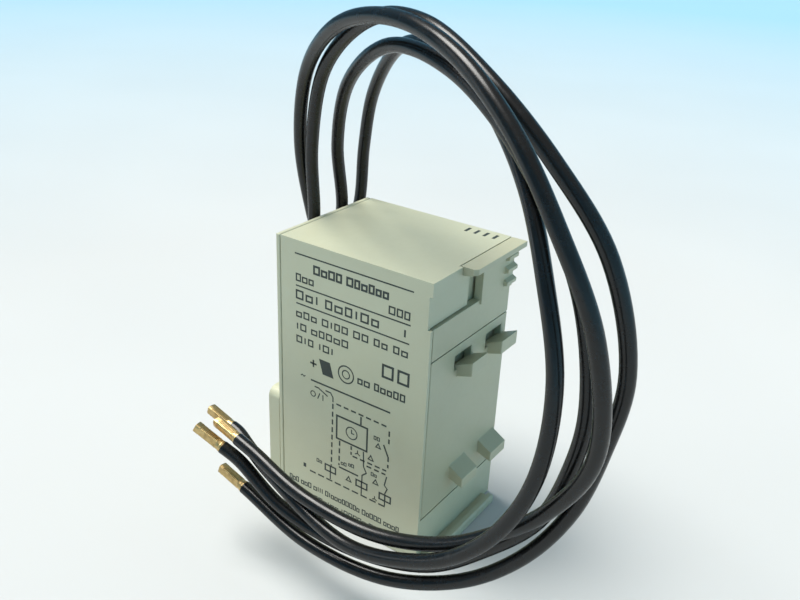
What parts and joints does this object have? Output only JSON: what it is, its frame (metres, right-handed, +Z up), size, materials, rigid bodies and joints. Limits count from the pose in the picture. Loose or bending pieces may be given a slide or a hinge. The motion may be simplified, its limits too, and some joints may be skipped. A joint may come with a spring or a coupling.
{
  "type": "star-delta timer module",
  "caption": "Plug-on electronic star-delta timer: a small grey plastic block with snap hooks for a rail-mounted contactor, a time knob, and stiff black leads with crimped ferrules.",
  "frame": {"origin": "the middle of the base of the module, leads left out", "axes": "+Z up along the module's height, +Y out of the rear face towards the contactor it snaps onto, +X out of the printed side"},
  "size_m": [0.0652, 0.1023, 0.1317],
  "materials": {
    "housing_plastic": "light green-grey moulded plastic, fine satin texture",
    "mechanism_plastic": "the same plastic, slightly darker where it is handled",
    "dial_plastic": "dark grey moulded plastic",
    "lens_plastic": "clear tinted green",
    "lead_insulation": "glossy black PVC",
    "ferrule_brass": "tinned brass gone dull gold, crimped",
    "contact_brass": "bright stamped strip",
    "contact_silver": "silver-plated strip",
    "board_laminate": "green solder mask",
    "component_black": "black epoxy",
    "component_blue": "blue epoxy",
    "relay_plastic": "ivory moulded plastic",
    "relay_steel": "soft iron, plated",
    "coil_copper": "enamelled copper wire",
    "capacitor_sleeve": "dark blue shrink sleeve",
    "film_case": "yellow flame-retardant box",
    "resistor_ceramic": "beige cement coating"
  },
  "bodies": {
    "housing": {"housing_shell": "housing_plastic", "front_cover": "housing_plastic", "dial_bezel": "housing_plastic", "lead_outlet_hood": "housing_plastic", "lead_clamp_comb": "mechanism_plastic", "mounting_plate": "mechanism_plastic", "potentiometer_body": "component_blue", "status_lamp": "lens_plastic", "lamp_lens": "lens_plastic", "control_board": "board_laminate", "main_board": "board_laminate", "board_connector": "component_black", "terminal_header": "component_black", "relay_base": "component_black", "relay_cover": "relay_plastic", "relay_yoke": "relay_steel", "relay_core": "relay_steel", "relay_bobbin": "relay_plastic", "relay_winding": "coil_copper", "relay_star_contact": "contact_silver", "relay_delta_contact": "contact_silver", "filter_capacitor": "capacitor_sleeve", "film_capacitor": "film_case", "varistor": "component_blue", "rectifier": "component_black", "dropper_resistor": "resistor_ceramic", "timer_chip": "component_black", "lead_tab_supply": "contact_brass", "lead_supply": "lead_insulation", "ferrule_supply": "ferrule_brass", "lead_tab_common": "contact_brass", "lead_common": "lead_insulation", "ferrule_common": "ferrule_brass", "lead_tab_star": "contact_brass", "lead_star": "lead_insulation", "ferrule_star": "ferrule_brass", "lead_tab_delta": "contact_brass", "lead_delta": "lead_insulation", "ferrule_delta": "ferrule_brass"},
    "latch": {"release_latch": "mechanism_plastic"},
    "time_dial": {"time_knob": "dial_plastic", "pot_shaft": "relay_plastic"},
    "armature": {"relay_armature": "relay_steel", "relay_contact_blade": "contact_brass"}
  },
  "joints": [
    {"name": "time_dial_turn", "type": "hinge", "parent": "housing", "child": "time_dial", "pos_m": [0, -0.022, 0.016], "axis": [0, 1, 0], "range_deg": [0, 270]},
    {"name": "latch_flex", "type": "hinge", "parent": "housing", "child": "latch", "pos_m": [0, 0.0225, 0.0568], "axis": [-1, 0, 0], "range_deg": [0, 8], "stiffness_Nm_per_rad": 0.3},
    {"name": "armature_pull", "type": "hinge", "parent": "housing", "child": "armature", "pos_m": [0.0013, -0.0045, 0.052], "axis": [0, 0, 1], "range_deg": [0, 4], "stiffness_Nm_per_rad": 0.02}
  ]
}
